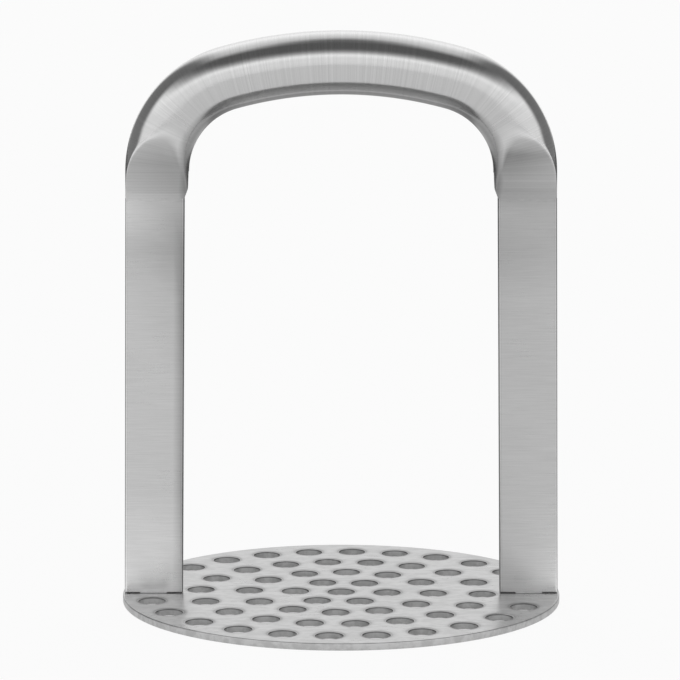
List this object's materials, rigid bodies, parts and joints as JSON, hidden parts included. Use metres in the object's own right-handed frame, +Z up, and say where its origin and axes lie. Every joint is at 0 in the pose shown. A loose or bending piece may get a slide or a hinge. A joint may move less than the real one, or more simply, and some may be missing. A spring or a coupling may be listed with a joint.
{
  "type": "potato masher",
  "caption": "Steel potato masher: an oval pierced plate under a round arched grip, held by two flat upright legs. No moving parts.",
  "frame": {"origin": "middle of the plate's underside, which the masher stands on", "axes": "+Z up to the grip, +X from the left leg to the right leg, -Y towards the front of the pictured view"},
  "size_m": [0.122, 0.1136, 0.1591],
  "materials": {
    "plate_steel": "light satin, edges of the holes broken bright",
    "grip_steel": "fine satin, brushed around the tube",
    "leg_steel": "satin, brushed across the width",
    "weld_steel": "ground and brushed over"
  },
  "bodies": {
    "root": {"mashing_plate": "plate_steel", "grip_tube": "grip_steel", "left_leg": "leg_steel", "right_leg": "leg_steel", "left_shoulder_seam": "weld_steel", "right_shoulder_seam": "weld_steel", "left_foot_weld": "weld_steel", "right_foot_weld": "weld_steel"}
  },
  "joints": []
}
